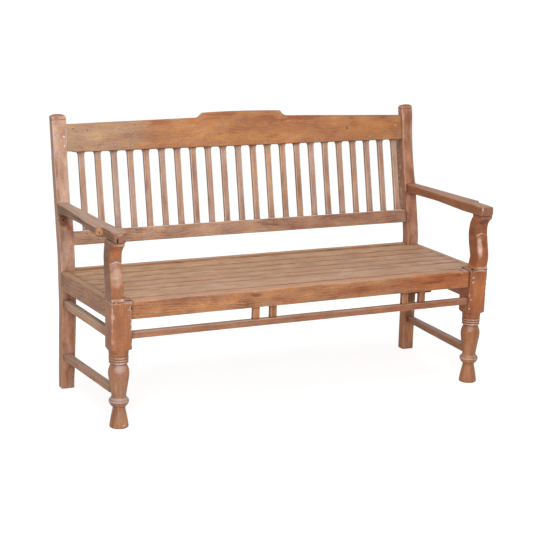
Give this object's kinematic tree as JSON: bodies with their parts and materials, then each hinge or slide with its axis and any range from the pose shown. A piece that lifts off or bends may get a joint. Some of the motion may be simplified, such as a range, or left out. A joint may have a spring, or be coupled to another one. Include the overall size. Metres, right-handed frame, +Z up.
{
  "type": "deacons bench",
  "caption": "Long hardwood bench with a leaning slatted back, shaped crest rail, flat arms on curved supports, boarded seat and turned front legs.",
  "frame": {"origin": "middle of the bench's footprint, on the floor", "axes": "+X along the bench to the right as seen from the front, +Y to the rear, +Z up"},
  "size_m": [1.544, 0.6494, 1.002],
  "materials": {
    "crest_teak": "golden, waxed, with a wavy figure",
    "rail_teak": "orange brown, worn, open pored",
    "leg_teak": "reddish brown, worn smooth with a low sheen",
    "post_teak": "pinkish brown, rubbed",
    "slat_teak": "greyed pinkish brown, rubbed",
    "seat_teak": "greyed tan with reddish streaks, worn matt",
    "arm_teak": "grey brown, weathered, with fine checks",
    "stretcher_teak": "brown with worn greyish upper faces",
    "peg_wood": "pale bleached end grain",
    "old_iron": "dull blue grey nail heads"
  },
  "bodies": {
    "root": {"rear_post_right": "post_teak", "rear_post_left": "post_teak", "front_leg_right": "leg_teak", "front_leg_left": "leg_teak", "arm_right": "arm_teak", "arm_left": "arm_teak", "crest_rail": "crest_teak", "lower_back_rail": "rail_teak", "back_slat_01": "slat_teak", "back_slat_02": "slat_teak", "back_slat_03": "slat_teak", "back_slat_04": "slat_teak", "back_slat_05": "slat_teak", "back_slat_06": "slat_teak", "back_slat_07": "slat_teak", "back_slat_08": "slat_teak", "back_slat_09": "slat_teak", "back_slat_10": "slat_teak", "back_slat_11": "slat_teak", "back_slat_12": "slat_teak", "back_slat_13": "slat_teak", "back_slat_14": "slat_teak", "back_slat_15": "slat_teak", "back_slat_16": "slat_teak", "back_slat_17": "slat_teak", "back_slat_18": "slat_teak", "back_slat_19": "slat_teak", "back_slat_20": "slat_teak", "back_slat_21": "slat_teak", "back_slat_22": "slat_teak", "crest_peg_01": "peg_wood", "crest_peg_02": "peg_wood", "crest_peg_03": "peg_wood", "crest_peg_04": "peg_wood", "front_seat_rail": "rail_teak", "rear_seat_rail": "seat_teak", "side_seat_rail_right": "rail_teak", "side_seat_rail_left": "rail_teak", "seat_board_01": "seat_teak", "seat_board_02": "seat_teak", "seat_board_03": "seat_teak", "seat_board_04": "seat_teak", "seat_board_05": "seat_teak", "seat_board_06": "seat_teak", "seat_bearer_01": "stretcher_teak", "seat_bearer_02": "stretcher_teak", "front_peg_01": "peg_wood", "front_peg_02": "peg_wood", "front_peg_03": "peg_wood", "front_peg_04": "peg_wood", "front_stretcher": "stretcher_teak", "front_spacer_01": "leg_teak", "front_spacer_02": "leg_teak", "front_spacer_03": "leg_teak", "front_spacer_04": "leg_teak", "side_stretcher_right": "stretcher_teak", "side_stretcher_left": "stretcher_teak", "low_stretcher_right": "stretcher_teak", "low_stretcher_left": "stretcher_teak"}
  },
  "joints": []
}
